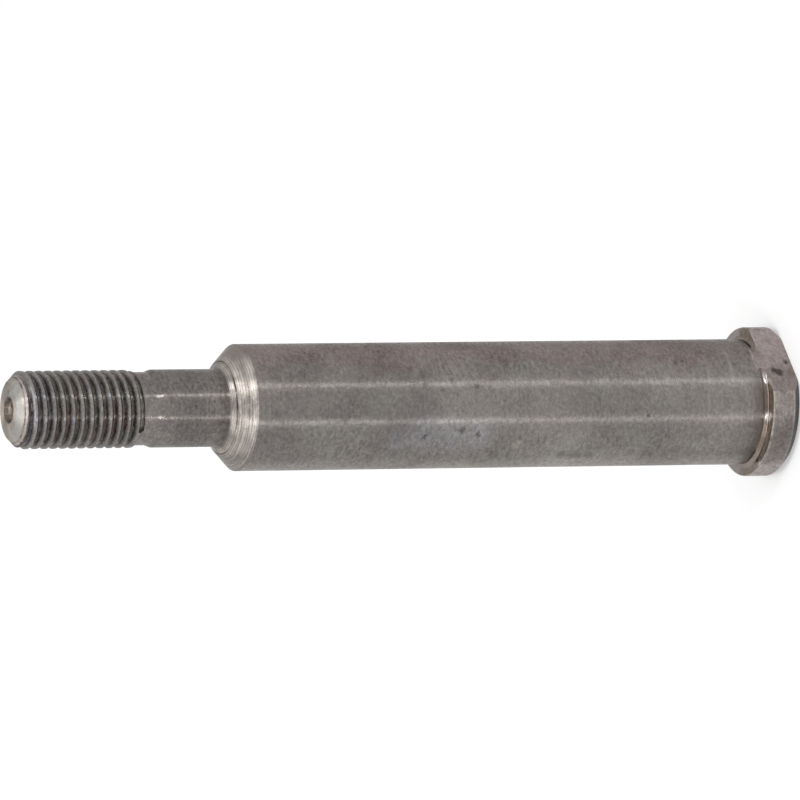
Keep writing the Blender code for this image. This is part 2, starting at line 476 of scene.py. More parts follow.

# Below, a shade is a start and an end in millimetres along a direction, and the brightness
# that the colour has from the end on: painted shade and light, except on the flat, which is
# only darker on one side. A painted band of light or shade is a centre, an inner and an
# outer reach in millimetres, and what it adds to the brightness. A spot is a height in
# millimetres, a direction in degrees and a size in millimetres.

# Shank
SHANK_TONE = tone(121, 116, 113)
BROWN_TONE = tone(121, 110, 107)
GREEN_TONE = tone(121, 118, 113)
BLUE_TONE = tone(130, 128, 133)
PALE_TONE = tone(148, 145, 136)
PIT_TONE = tone(68, 62, 60)
# Painted shade along the shank's upper edge in the picture, and painted light over its lower half
# and along its lower edge
SHANK_PAINTED_SHADING = [(13.0, 15.8, 0.75), (-13.2, -15.7, 1.4), (-3.0, -6.0, 1.08)]
SHANK_PITS = [
    (32.3, -4.3, 0.8),
    (30.5, -2.0, 0.5),
    (45.1, -49.4, 0.55),
    (41.6, -55.1, 0.6),
    (102.4, -72.8, 1.0),
    (92.6, -66.2, 1.4),
    (87.9, -71.4, 1.2),
    (88.6, -26.3, 1.1),
    (70.2, 118.0, 0.9),
    (118.3, 160.0, 0.8),
    (35.9, -160.0, 0.9),
    (133.0, 75.0, 0.7),
]
SHANK_SMUDGES = [
    (63.0, -96.5, 2.4),
    (59.2, -97.4, 2.6),
    (55.4, -98.2, 2.2),
    (103.0, -14.0, 1.8),
    (102.5, -24.0, 1.4),
    (95.0, -20.5, 1.4),
    (98.3, -29.5, 1.3),
    (29.0, 140.0, 3.0),
    (121.0, -150.0, 2.6),
]
SHANK_BLUES = [(103.0, -71.0, 7.0), (96.0, -73.0, 7.5), (88.0, -72.0, 6.5), (109.0, -75.0, 5.0)]
SHANK_PALES = [(76.6, -82.9, 2.0)]

# Short lines round the shank: height in millimetres, direction in degrees, half width in
# millimetres and half angle in degrees
SHANK_ARCS = [
    (24.8, -42.9, 0.4, 9.0),
    (18.35, -50.5, 0.35, 7.0),
    (17.45, -7.0, 0.6, 20.0),
    (24.2, -20.0, 0.35, 6.0),
    (66.0, 112.0, 0.4, 10.0),
    (110.5, -165.0, 0.4, 13.0),
    (139.0, 64.0, 0.35, 8.0),
]

# Neck and shoulder
NECK_TONE = tone(118, 113, 110)
# Painted shade, a little brown, where the neck meets the shoulder
NECK_FOOT_SHADE = tone(92, 86, 81)
# Painted shade on the neck's upper side and painted light on its lower side
NECK_PAINTED_SHADING = [(2.0, 9.0, 0.93), (-2.0, -6.0, 1.14)]
SHOULDER_TONE = tone(158, 151, 145)
# Painted shade on the shoulder's top side, a little warmer in hue
SHOULDER_TOP_SHADE = tone(122, 112, 108)
# Painted shade in the fillet at the neck's foot and in the notch
SHOULDER_SHADE_TONE = tone(62, 54, 50)
# Painted light and shade across the shoulder: a little lighter on its upper half, darker at its
# lower edge, a band of painted shade between the lamps' lines and painted highlights at the upper
# lamp's line
SHOULDER_PAINTED_SHADING = [(0.0, 5.0, 1.05), (-10.0, -14.0, 0.7)]
SHOULDER_SHADE_BANDS = [(1.0, 2.0, 5.5, -0.2)]
SHOULDER_HIGHLIGHT_BANDS = [(7.0, 1.0, 3.0, 0.25), (5.0, 0.5, 1.6, 0.4)]
# On the land inside the notch: painted highlights at both lamps' lines, over painted shade
# elsewhere
LAND_HIGHLIGHT_BANDS = [(4.2, 1.0, 3.0, 0.6), (-3.5, 1.0, 3.0, 0.4)]
LAND_SHADED_LEVEL = 0.85
RING_PITCH = 0.5 * MM
RING_WANDER = 2.2

# End. The rings lie outside the face's edge, in millimetres.
END_TONE = tone(173, 170, 165)
# Painted shade on one side of the end face, a little warmer
END_SHADE_TONE = tone(149, 142, 135)
END_BROWN = tone(146, 128, 112)
END_LINE = tone(80, 72, 68)
END_RINGS = (0.45, 1.15)
BEVEL_TONE = tone(176, 166, 160)
CENTRE_DARK = tone(88, 80, 73)

# Thread
THREAD_TONE = tone(124, 121, 118)
THREAD_BLUE = tone(116, 115, 120)
GROOVE_TONE = tone(98, 92, 88)
GROOVE_RED = tone(100, 89, 86)
GROOVE_GREEN = tone(94, 93, 88)
GROOVE_BLUE = tone(91, 88, 93)
THREAD_PIT = tone(30, 28, 26)
THREAD_PITS = [(184.6, -60.8, 0.9), (187.8, -37.0, 0.7), (192.0, 120.0, 0.8)]
THREAD_PIT_RADIUS = CREST_RADIUS - 0.6 * MM

# Undercut. The fillet's painted glints and patches of painted shade are a direction and a
# half angle in degrees, a share and a tone.
UNDERCUT_TONE = tone(94, 86, 79)
# The undercut floor's colour where it is painted lighter, away from the side facing the camera
UNDERCUT_PAINTED_LIGHT = tone(132, 121, 114)
SEAT_TONE = tone(152, 145, 143)
# Brown painted shade on the seat
SEAT_BROWN_SHADE = tone(150, 137, 128)
FILLET_TONE = tone(103, 93, 85)
GLINT_TONE = tone(190, 188, 190)
# Darker brown patches on the seat's upper side, next to the shank
SEAT_PATCH_TONE = tone(84, 76, 64)
SEAT_DARK_PATCHES = [(8.0, 31.0, 2.4), (8.0, 40.0, 2.2), (8.0, 49.0, 1.6)]
SEAT_PATCH_RADIUS = SHANK_RADIUS + 1.2 * MM
FILLET_GLINTS_AND_SHADES = [
    (-29.0, 9.0, 0.6, UNDERCUT_TONE),
    (-50.0, 8.0, 0.35, UNDERCUT_TONE),
    (-20.5, 6.5, 0.5, GLINT_TONE),
    (-57.3, 6.0, 0.42, GLINT_TONE),
]

# Head and flat
RIM_TONE = tone(147, 140, 137)
# Painted shade on the head's chamfer and outer face
RIM_CHAMFER_SHADE = tone(102, 98, 99)
LIP_TONE = tone(125, 121, 111)
RUST_TONE = tone(134, 94, 74)
# Painted shade over the rim's lower half in the picture, with painted light along its lower edge
HEAD_PAINTED_SHADING = [(2.0, 8.0, 0.6), (13.0, 17.5, 1.8)]
RIM_PITS = [
    (5.0, -64.0, 0.7),
    (2.1, -22.6, 0.6),
    (6.0, -84.0, 0.5),
    (4.4, 132.0, 0.8),
    (3.0, -151.0, 0.7),
]
FLAT_TONE = tone(147, 137, 135)
SMUDGE_TONE = tone(104, 98, 86)
FLAT_SHADES = [(-1.0, 5.0, 0.85)]
FLAT_PITS = [(1.5, -3.1, 1.1), (4.4, -15.8, 1.9), (5.6, -13.5, 1.4), (6.1, 24.0, 0.7)]
FLAT_SMUDGES = [(1.3, -17.0, 2.4)]
FLAT_SPOT_RADIUS = FLAT_FROM_AXIS * 1.02


class Graph:
    """Shorthand for the nodes of a material or a world. Values are sockets or constants."""

    def __init__(self, owner):
        owner.use_nodes = True
        self.owner = owner
        self.tree = owner.node_tree

    def put(self, socket, value):
        if isinstance(value, bpy.types.NodeSocket):
            self.tree.links.new(value, socket)
        elif socket.type == "VECTOR":
            socket.default_value = value[:3]
        else:
            socket.default_value = value

    def node(self, kind, **settings):
        made = self.tree.nodes.new(kind)
        for name, value in settings.items():
            setattr(made, name, value)
        return made

    def math(self, operation, *values):
        made = self.node("ShaderNodeMath", operation=operation)
        for socket, value in zip(made.inputs, values):
            self.put(socket, value)
        return made.outputs[0]

    def times(self, first, *others):
        for other in others:
            first = self.math("MULTIPLY", first, other)
        return first

    def plus(self, value, mask, amount):
        """A value with an amount added to it where a mask is 1."""
        return self.math("MULTIPLY_ADD", mask, amount, value)

    def strayed(self, value, noise, reach):
        """A value that a noise shifts by up to a reach, either way."""
        return self.math("ADD", value, self.math("MULTIPLY_ADD", noise, 2 * reach, -reach))

    def apart(self, value, centre):
        return self.math("ABSOLUTE", self.math("SUBTRACT", value, centre))

    def between(self, value, start, end, at_start=0.0, at_end=1.0):
        """A smooth step: at_start up to the start, at_end from the end on."""
        made = self.node("ShaderNodeMapRange", interpolation_type="SMOOTHSTEP")
        names = ("Value", "From Min", "From Max", "To Min", "To Max")
        for name, item in zip(names, (value, start, end, at_start, at_end)):
            self.put(made.inputs[name], item)
        return made.outputs[0]

    def band(self, value, centre, inner, outer):
        """1 where a value lies within inner of the centre, falling to 0 at outer."""
        return self.between(self.apart(value, centre), outer, inner)

    def streaks(self, value, items, level=1.0):
        """The brightness that painted bands of light and shade leave on a level."""
        for centre, inner, outer, amount in items:
            line = self.band(value, centre * MM, inner * MM, outer * MM)
            level = self.plus(level, line, amount)
        return level

    def vector(self, operation, *values):
        made = self.node("ShaderNodeVectorMath", operation=operation)
        for socket, value in zip(made.inputs, values):
            self.put(socket, value)
        return made.outputs

    def scaled(self, vector, factor):
        made = self.node("ShaderNodeVectorMath", operation="SCALE")
        self.put(made.inputs[0], vector)
        self.put(made.inputs["Scale"], factor)
        return made.outputs[0]

    def mix(self, share, first, second):
        made = self.node("ShaderNodeMix", data_type="RGBA")
        self.put(made.inputs["Factor"], share)
        self.put(made.inputs[6], first)
        self.put(made.inputs[7], second)
        return made.outputs[2]

    def stained(self, colour, tint, mask, share):
        """A colour that turns by a share to a tint where a mask is 1."""
        return self.mix(self.times(mask, share), colour, tint)

    def varied(self, colour, noise, amount):
        """A colour made lighter and darker by a noise, evenly about its own value."""
        return self.scaled(colour, self.math("MULTIPLY_ADD", noise, 2 * amount, 1 - amount))

    def shaded(self, colour, value, shades):
        """A colour with shades along a value."""
        for start, end, brightness in shades:
            step = self.between(value, start * MM, end * MM, 1.0, brightness)
            colour = self.scaled(colour, step)
        return colour

    def bump(self, height, distance, normal=None):
        made = self.node("ShaderNodeBump")
        self.put(made.inputs["Height"], height)
        self.put(made.inputs["Distance"], distance)
        self.put(made.inputs["Strength"], 1.0)
        if normal is not None:
            self.put(made.inputs["Normal"], normal)
        return made.outputs[0]


class Steel(Graph):
    """The nodes of one finish of the pin, with what follows from the place on it."""

    def __init__(self, name):
        super().__init__(bpy.data.materials.new(name))
        self.place = self.node("ShaderNodeTexCoord").outputs["Object"]

    def height(self):
        made = self.node("ShaderNodeSeparateXYZ")
        self.put(made.inputs[0], self.place)
        return made.outputs["Z"]

    def radius(self):
        """Distance from the pin's axis."""
        level = self.vector("MULTIPLY", self.place, (1, 1, 0))[0]
        return self.vector("LENGTH", level)["Value"]

    def towards(self, direction):
        """How far the place lies from the axis in a direction round it."""
        way = (math.cos(direction), math.sin(direction), 0)
        return self.vector("DOT_PRODUCT", self.place, way)["Value"]

    def noise(self, scale, seed=0.0, detail=3.0, roughness=0.6, source=None):
        """Noise with features of one over scale metres. A scale of three values stretches it."""
        source = self.place if source is None else source
        if isinstance(scale, tuple):
            source = self.vector("MULTIPLY", source, scale)[0]
            scale = 1.0
        made = self.node("ShaderNodeTexNoise", noise_dimensions="4D")
        self.put(made.inputs["Vector"], source)
        self.put(made.inputs["W"], seed)
        self.put(made.inputs["Scale"], scale)
        self.put(made.inputs["Detail"], detail)
        self.put(made.inputs["Roughness"], roughness)
        return made.outputs["Fac"]

    def film(self, scale, seed):
        """The noise of a stained film, and of the ragged edge of the neck's painted shade."""
        return self.noise(scale, seed, detail=4.0, roughness=0.65)

    def blotches(self, scale, seed):
        """A soft noise, for what is rubbed off here and there."""
        return self.noise(scale, seed, detail=2.0, roughness=0.5)

    def spots(self, radius, items, core):
        """1 inside spots with uneven edges at a radius, from a core, as a share of their size."""
        wobble = self.node("ShaderNodeTexNoise")
        self.put(wobble.inputs["Vector"], self.place)
        self.put(wobble.inputs["Scale"], WOBBLE_SCALE)
        shift = self.vector("SUBTRACT", wobble.outputs["Color"], (0.5, 0.5, 0.5))[0]
        moved = self.vector("ADD", self.place, self.scaled(shift, WOBBLE))[0]
        total = None
        for height, direction, size in items:
            angle = math.radians(direction)
            centre = (radius * math.cos(angle), radius * math.sin(angle), height * MM)
            away = self.vector("DISTANCE", moved, centre)["Value"]
            inside = self.between(away, size * MM, size * MM * core)
            total = inside if total is None else self.math("MAXIMUM", total, inside)
        return total

    def spotted(self, colour, tint, share, radius, items, core=0.35):
        """A colour that turns by a share to a tint inside spots."""
        return self.stained(colour, tint, self.spots(radius, items, core), share)

    def arcs(self, items, core=0.3):
        """1 on short lines round the shank, from a core, as a share of their width."""
        height = self.height()
        total = None
        for level, direction, half_width, half_angle in items:
            line = self.band(height, level * MM, half_width * MM * core, half_width * MM)
            end = math.cos(math.radians(half_angle))
            reach = self.towards(math.radians(direction))
            inside = self.between(reach, SHANK_RADIUS * end, SHANK_RADIUS * (1 + end) / 2)
            line = self.times(line, inside)
            total = line if total is None else self.math("MAXIMUM", total, line)
        return total

    def worn(self, colour, grain=0.8, patches=0.4, strokes=0.5):
        """A colour with the uneven film of bare steel: grain, strokes round the axis,
        patches and dark clusters."""
        fine = self.noise(GRAIN_SCALE, roughness=0.7)
        dashes = self.noise(DASH_SCALE)
        broad = self.noise(PATCH_SCALE, roughness=0.5)
        clusters = self.noise(CLUSTER_SCALE, seed=11.0)
        colour = self.varied(colour, fine, grain * GRAIN_SHARE)
        colour = self.varied(colour, dashes, grain * strokes)
        colour = self.varied(colour, broad, patches)
        return self.scaled(colour, self.between(clusters, 0.56, 0.72, 1.02, 0.85))

    def finish(
        self, colour, roughness=0.34, anisotropy=1.0, grain=0.04, marks=0.02, edge=EDGE_TINT
    ):
        """Closes the material: metal whose marks run round the axis. Its bumps are grain and
        marks millimetres high."""
        inputs = self.tree.nodes["Principled BSDF"].inputs
        rings = self.noise(RING_SCALE, roughness=0.7)
        pores = self.noise(PORE_SCALE)
        smears = self.noise(SMEAR_SCALE, seed=13.0, roughness=0.7)
        rubbed = self.between(self.blotches(RUB_SCALE, 21.0), 0.35, 0.65, 0.85, 1.15)
        rough = self.between(smears, 0.36, 0.64, roughness * 0.75, roughness * 1.3)
        round_axis = self.node("ShaderNodeTangent", direction_type="RADIAL", axis="Z")
        marked = self.bump(rings, marks * MM)
        self.put(inputs["Base Color"], colour)
        self.put(inputs["Roughness"], self.times(rough, rubbed))
        self.put(inputs["Tangent"], round_axis.outputs[0])
        self.put(inputs["Normal"], self.bump(pores, grain * MM, marked))
        inputs["Metallic"].default_value = 1.0
        inputs["Specular Tint"].default_value = edge
        inputs["Anisotropic"].default_value = anisotropy
        inputs["Anisotropic Rotation"].default_value = 0.25
        return self.owner


def shank_steel():
    """Grey steel with a brown film on one side, a bluish patch and a few pits, and painted shade
    and light across it and next to the head.
    """
    steel = Steel("shank_steel")
    height = steel.height()
    side = steel.towards(BROWN_SIDE)
    green = steel.between(steel.noise(90.0, detail=4.0), 0.45, 0.62, 0.0, 0.7)
    colour = steel.mix(green, SHANK_TONE, GREEN_TONE)
    film_side = steel.strayed(side, steel.film(160.0, 3.0), 9 * MM)
    brown = steel.between(film_side, 7.2 * MM, 12 * MM, 0.0, 0.9)
    off_head = steel.between(height, SEAT + 10 * MM, SEAT + 16 * MM, 0.3, 1.0)
    colour = steel.stained(colour, BROWN_TONE, brown, off_head)
    colour = steel.spotted(colour, BLUE_TONE, 0.5, SHANK_RADIUS, SHANK_BLUES, 0.2)
    colour = steel.spotted(colour, PALE_TONE, 0.8, SHANK_RADIUS, SHANK_PALES, 0.2)
    # The shank's painted shade and light across the picture go in before its wear
    colour = steel.worn(steel.shaded(colour, side, SHANK_PAINTED_SHADING), 0.62, 0.5)
    colour = steel.stained(colour, PALE_TONE, steel.arcs(SHANK_ARCS), 0.5)
    colour = steel.spotted(colour, PIT_TONE, 0.35, SHANK_RADIUS, SHANK_SMUDGES, 0.2)
    colour = steel.spotted(colour, PIT_TONE, 0.65, SHANK_RADIUS, SHANK_PITS, 0.3)
    # Painted shade on the shank next to the head, in the undercut's dark brown, fading towards the
    # picture's top
    corner = steel.between(height, SEAT + 4.8 * MM, SEAT + UNDERCUT_WIDTH, 0.0, 0.45)
    off_top = steel.between(steel.towards(PICTURE_TOP), 9 * MM, 4 * MM)
    colour = steel.stained(colour, UNDERCUT_TONE, corner, off_top)
    # More painted shade on the shank's lower side near the head
    shade_by_head = steel.between(height, SEAT + 13 * MM, SEAT + 4 * MM)
    shade_low_side = steel.between(side, -4 * MM, -8 * MM)
    colour = steel.scaled(colour, steel.plus(1.0, steel.times(shade_by_head, shade_low_side), -0.22))
    return steel.finish(colour, grain=0.022)


def neck_steel():
    """Darker steel with painted shade against the shoulder, painted shade on its upper side and
    painted light on its lower side, and a little lighter in the relief.
    """
    steel = Steel("neck_steel")
    height = steel.height()
    # Painted shade where the neck meets the shoulder, with a ragged edge
    shade_edge_height = steel.strayed(height, steel.film(220.0, 5.0), 4 * MM)
    brown = steel.between(shade_edge_height, NECK_FOOT + 4 * MM, NECK_FOOT + 1 * MM, 0.0, 0.7)
    colour = steel.mix(brown, NECK_TONE, NECK_FOOT_SHADE)
    # Painted shade on the neck's upper side and painted light on its lower side
    colour = steel.shaded(colour, steel.towards(NECK_SHADE_SIDE), NECK_PAINTED_SHADING)
    relief = steel.between(height, NECK_TOP - 1 * MM, RELIEF_FOOT, 1.0, 1.05)
    colour = steel.worn(steel.scaled(colour, relief), 0.9, 0.6)
    return steel.finish(colour, roughness=0.3, grain=0.02)


def shoulder_steel():
    """Fresh bright steel with coarse turning rings, painted highlights and painted shade across
    it, and painted shade in its inner fillet and notch.
    """
    steel = Steel("shoulder_steel")
    radius = steel.radius()
    side = steel.towards(BROWN_SIDE)
    rings = steel.noise((25.0, 25.0, 1500.0), seed=2.0, roughness=0.7)
    colour = steel.varied(SHOULDER_TONE, rings, 0.8)
    wander = steel.times(steel.noise((90.0, 90.0, 900.0), seed=14.0), RING_WANDER)
    turn = steel.math("ADD", steel.math("DIVIDE", radius, RING_PITCH), wander)
    off_line = steel.apart(steel.math("FRACT", turn), 0.5)
    colour = steel.scaled(colour, steel.between(off_line, 0.02, 0.22, 0.62, 1.1))
    colour = steel.varied(colour, steel.noise(260.0, seed=4.0), 0.7)
    # Painted light and shade across the shoulder, with painted highlights at the lamps' lines
    colour = steel.shaded(colour, side, SHOULDER_PAINTED_SHADING)
    colour = steel.scaled(colour, steel.streaks(side, SHOULDER_SHADE_BANDS))
    colour = steel.scaled(colour, steel.streaks(side, SHOULDER_HIGHLIGHT_BANDS))
    # The land inside the notch: painted highlights at both lamps' lines over painted shade
    land = steel.between(radius, NOTCH_RADIUS + 0.1 * MM, NOTCH_RADIUS)
    painted_light = steel.scaled(colour, steel.streaks(side, LAND_HIGHLIGHT_BANDS, LAND_SHADED_LEVEL))
    colour = steel.mix(land, colour, painted_light)
    # Painted shade on the shoulder's top side, a little warmer in hue
    top_shade = steel.between(side, 9 * MM, 14 * MM, 0.0, 0.9)
    colour = steel.mix(top_shade, colour, SHOULDER_TOP_SHADE)
    # Painted shade along the shoulder's outer edge, except towards the picture's top
    brim_shade = steel.between(radius, SHANK_RADIUS - 0.5 * MM, SHANK_RADIUS - 0.1 * MM)
    brim_shade = steel.times(brim_shade, steel.between(side, 10 * MM, 7 * MM))
    colour = steel.scaled(colour, steel.plus(1.0, brim_shade, -0.3))
    # Painted shade in the fillet at the neck's foot, and a line of painted shade in the notch,
    # uneven and fading towards the picture's top and bottom
    inner = steel.between(radius, NECK_RADIUS + 0.7 * MM, NECK_RADIUS + 0.1 * MM, 0.0, 0.5)
    line = steel.band(radius, NOTCH_RADIUS - NOTCH_WIDTH / 2, 0.15 * MM, 0.34 * MM)
    uneven = steel.between(steel.blotches(300.0, 12.0), 0.35, 0.6, 0.55, 1.0)
    fading = steel.between(steel.apart(side, 1.5 * MM), 9 * MM, 4 * MM, 0.1, 1.0)
    line = steel.times(line, uneven, fading)
    colour = steel.mix(steel.math("MAXIMUM", inner, line), colour, SHOULDER_SHADE_TONE)
    return steel.finish(colour, roughness=0.3, marks=0.03, grain=0.03)


def end_steel():
    """The bright turned end, with painted shade towards one side, and a dark rim round the centre
    hole.
    """
    steel = Steel("end_steel")
    radius = steel.radius()
    film = steel.noise(500.0, seed=6.0)
    # The end face: painted shade on one side and lighter towards the other, with a ragged boundary
    side = steel.strayed(steel.towards(END_LIT_SIDE), film, 3 * MM)
    colour = steel.mix(steel.between(side, -2 * MM, 2.5 * MM), END_SHADE_TONE, END_TONE)
    rings = steel.noise(1800.0, roughness=0.7, source=radius)
    colour = steel.varied(colour, rings, 0.8)
    brown = steel.between(steel.noise(300.0, seed=28.0), 0.42, 0.6, 0.0, 0.55)
    by_hole = steel.between(radius, 6.5 * MM, 3.5 * MM)
    colour = steel.stained(colour, END_BROWN, brown, by_hole)
    bevel = steel.between(radius, FACE_RADIUS - 0.1 * MM, FACE_RADIUS + 0.2 * MM, 0.0, 0.8)
    colour = steel.mix(bevel, colour, BEVEL_TONE)
    broken = steel.between(steel.blotches(350.0, 22.0), 0.35, 0.6, 0.3, 0.85)
    for ring in END_RINGS:
        line = steel.band(radius, FACE_RADIUS + ring * MM, 0.08 * MM, 0.22 * MM)
        colour = steel.stained(colour, END_LINE, line, broken)
    torn = steel.strayed(radius, steel.noise(700.0, seed=26.0), 0.8 * MM)
    torn = steel.between(torn, FACE_RADIUS + 0.95 * MM, FACE_RADIUS + 1.2 * MM, 0.0, 0.85)
    off_top = steel.between(steel.towards(PICTURE_TOP), 8 * MM, 6 * MM, 0.2, 1.0)
    colour = steel.stained(colour, END_LINE, torn, off_top)
    mouth = steel.band(radius, CENTRE_MOUTH_RADIUS - 0.15 * MM, 0.25 * MM, 0.55 * MM)
    mouth = steel.times(mouth, steel.between(film, 0.35, 0.6, 0.4, 0.9))
    inside = steel.band(radius, 2.1 * MM, 0.1 * MM, 0.25 * MM)
    inside = steel.times(inside, steel.between(film, 0.42, 0.6))
    colour = steel.mix(steel.math("MAXIMUM", mouth, inside), colour, CENTRE_DARK)
    return steel.finish(colour, roughness=0.38)


def thread_steel():
    """Blue-grey crests over oily brown-black grooves, with a painted reflection along each
    groove's root.
    """
    steel = Steel("thread_steel")
    radius = steel.radius()
    height = steel.height()
    blue = steel.between(steel.noise(180.0, seed=7.0), 0.5, 0.64, 0.0, 0.7)
    colour = steel.worn(steel.mix(blue, THREAD_TONE, THREAD_BLUE), 0.7, 0.35)
    bright = steel.between(height, END_EDGE - 7 * MM, END_EDGE - 3 * MM, 1.0, 1.25)
    colour = steel.scaled(colour, bright)

    tint = steel.noise(150.0, seed=24.0)
    groove = steel.mix(steel.between(tint, 0.4, 0.48), GROOVE_RED, GROOVE_TONE)
    groove = steel.mix(steel.between(tint, 0.5, 0.6), groove, GROOVE_GREEN)
    by_end = steel.between(height, END_EDGE - 10 * MM, END_EDGE - 5 * MM)
    groove = steel.stained(groove, GROOVE_BLUE, by_end, 0.6)

    broken = steel.noise((420.0, 420.0, 900.0), seed=23.0)
    # A painted reflection along the root of each groove, broken up, and a darker line higher on
    # the flank
    root_reflection = steel.band(radius, CREST_RADIUS - 1.12 * MM, 0.06 * MM, 0.21 * MM)
    root_reflection = steel.times(root_reflection, steel.between(broken, 0.38, 0.6, 0.0, 2.1))
    dark = steel.band(radius, CREST_RADIUS - 0.78 * MM, 0.06 * MM, 0.2 * MM)
    dark = steel.times(dark, steel.between(broken, 0.62, 0.4, 0.0, -0.5))
    lines = steel.math("ADD", steel.math("ADD", root_reflection, dark), 1.0)

    torn = steel.strayed(radius, steel.noise(1100.0, seed=15.0), 0.5 * MM)
    deep = steel.between(torn, CREST_RADIUS - 0.1 * MM, CREST_RADIUS - 0.75 * MM)
    start = steel.between(height, END_EDGE - 2.4 * MM, END_EDGE - 2.1 * MM)
    upper = steel.between(steel.towards(PICTURE_TOP), 2.5 * MM, 6 * MM)
    deep = steel.times(deep, steel.plus(1.0, steel.times(start, upper), -0.6))
    start = steel.times(start, steel.plus(1.0, upper, -1.0))
    deep = steel.math("MAXIMUM", deep, start)
    lines = steel.plus(lines, start, -0.35)
    foot = steel.between(height, RELIEF_TOP + 1.2 * MM, RELIEF_TOP + 0.2 * MM, 0.0, 0.5)
    lines = steel.math("ADD", lines, foot)
    colour = steel.mix(deep, colour, steel.scaled(groove, lines))
    colour = steel.spotted(colour, THREAD_PIT, 0.9, THREAD_PIT_RADIUS, THREAD_PITS, 0.4)
    return steel.finish(colour, roughness=0.28)


def undercut_steel():
    """Dark brown floor of the undercut, its tan fillet and the seat beside it, with painted light,
    glints and shade on them.
    """
    steel = Steel("undercut_steel")
    radius = steel.radius()
    height = steel.height()
    facing = steel.math("DIVIDE", steel.towards(NEAR_SIDE), SHANK_RADIUS)
    upper = steel.math("DIVIDE", steel.towards(PICTURE_TOP), SHANK_RADIUS)
    rear = steel.math("DIVIDE", steel.towards(FAR_SIDE), SHANK_RADIUS)
    outer = FILLET_OUTER_RADIUS
    # The floor: painted lighter away from the side facing the camera, and painted shade towards
    # the picture's top
    floor = steel.mix(steel.between(facing, 0.9, 0.6), UNDERCUT_TONE, UNDERCUT_PAINTED_LIGHT)
    floor = steel.scaled(floor, steel.between(upper, 0.6, 0.8, 1.0, 0.65))

    # Painted light on the fillet beside the part facing the camera, giving way to painted shade
    # further round
    fillet_side_light = steel.between(facing, 0.97, 0.92, 1.0, 1.9)
    fillet_far_shade = steel.between(facing, 0.88, 0.78, 1.0, 0.75)
    fillet = steel.scaled(FILLET_TONE, steel.times(fillet_side_light, fillet_far_shade))
    # Painted glints and patches of painted shade on the fillet
    for direction, half_angle, share, tint in FILLET_GLINTS_AND_SHADES:
        turned = steel.math("DIVIDE", steel.towards(math.radians(direction)), radius)
        patch = steel.between(turned, math.cos(math.radians(half_angle)), 1.0, 0.0, share)
        fillet = steel.mix(patch, fillet, tint)
    # Painted light at the fillet's outer foot, strongest where it faces the camera
    fillet_foot_light = steel.between(facing, 0.5, 0.75, 1.0, 3.2)
    foot = steel.between(radius, outer - 0.6 * MM, outer - 0.1 * MM, 1.0, fillet_foot_light)
    fillet = steel.scaled(fillet, foot)
    # The fillet's colour, with its painted light and glints, shows fully where the fillet faces
    # the camera and only a little elsewhere
    low = steel.between(height, SEAT + UNDERCUT_FILLET * 1.1, SEAT + UNDERCUT_FILLET * 0.9)
    within = steel.between(radius, outer + 0.35 * MM, outer + 0.15 * MM)
    painted_light = steel.between(facing, 0.7, 0.9, 0.2, 1.0)
    colour = steel.mix(steel.times(low, within, painted_light), floor, fillet)

    # The seat ring: painted light towards the camera, up to four times as bright; elsewhere
    # darker, with brown painted shade that gives way to the grey seat tone towards the back and
    # where the painted light is strongest
    seat_front_light = steel.between(facing, 0.5, 0.8, 1.0, 4.2)
    rear = steel.between(rear, 0.0, 0.25)
    unshaded = steel.math("MAXIMUM", rear, steel.between(seat_front_light, 1.0, 3.0))
    ring = steel.mix(unshaded, SEAT_BROWN_SHADE, SEAT_TONE)
    ring = steel.scaled(ring, steel.times(seat_front_light, steel.plus(0.54, rear, 0.22)))
    seat = steel.between(radius, outer + 0.1 * MM, outer + 0.4 * MM)
    colour = steel.mix(seat, colour, ring)
    # Darker brown patches on the seat's upper side, next to the shank
    colour = steel.spotted(colour, SEAT_PATCH_TONE, 0.6, SEAT_PATCH_RADIUS, SEAT_DARK_PATCHES, 0.3)
    colour = steel.worn(colour, 0.5, 0.4)
    return steel.finish(colour, 0.16, 0.3, grain=0.004, marks=0.004)


def head_steel():
    """The head's pitted rim, with painted shade and light across it, and its chamfer and outer
    face painted darker in shade.
    """
    steel = Steel("head_steel")
    height = steel.height()
    below = steel.towards(PICTURE_FOOT)
    film = steel.between(steel.film(300.0, 8.0), 0.45, 0.65, 0.0, 0.5)
    colour = steel.mix(film, RIM_TONE, BROWN_TONE)
    # Painted shade over the rim's lower half in the picture, with painted light along its lower
    # edge
    colour = steel.shaded(colour, below, HEAD_PAINTED_SHADING)
    lip = steel.between(height, SEAT - 0.7 * MM, SEAT - 0.3 * MM)
    lip = steel.times(lip, steel.between(below, 14 * MM, 10 * MM, 0.2, 1.0))
    rubbed = steel.between(steel.noise(250.0, seed=25.0), 0.35, 0.6, 0.7, 1.7)
    colour = steel.mix(lip, colour, steel.scaled(LIP_TONE, rubbed))
    by_chamfer = steel.between(height, HEAD_CHAMFER + 0.6 * MM, HEAD_CHAMFER + 0.3 * MM, 1.0, 1.25)
    colour = steel.scaled(colour, by_chamfer)
    # Painted shade on the head's chamfer and outer face
    chamfer = steel.between(height, HEAD_CHAMFER + 0.1 * MM, HEAD_CHAMFER - 0.1 * MM)
    colour = steel.mix(chamfer, colour, RIM_CHAMFER_SHADE)
    colour = steel.worn(colour, 0.8, 0.7, 0.15)
    colour = steel.spotted(colour, RUST_TONE, 0.7, HEAD_RADIUS, RIM_PITS)
    return steel.finish(colour, 0.5, 0.3, grain=0.06, edge=HEAD_EDGE_TINT)


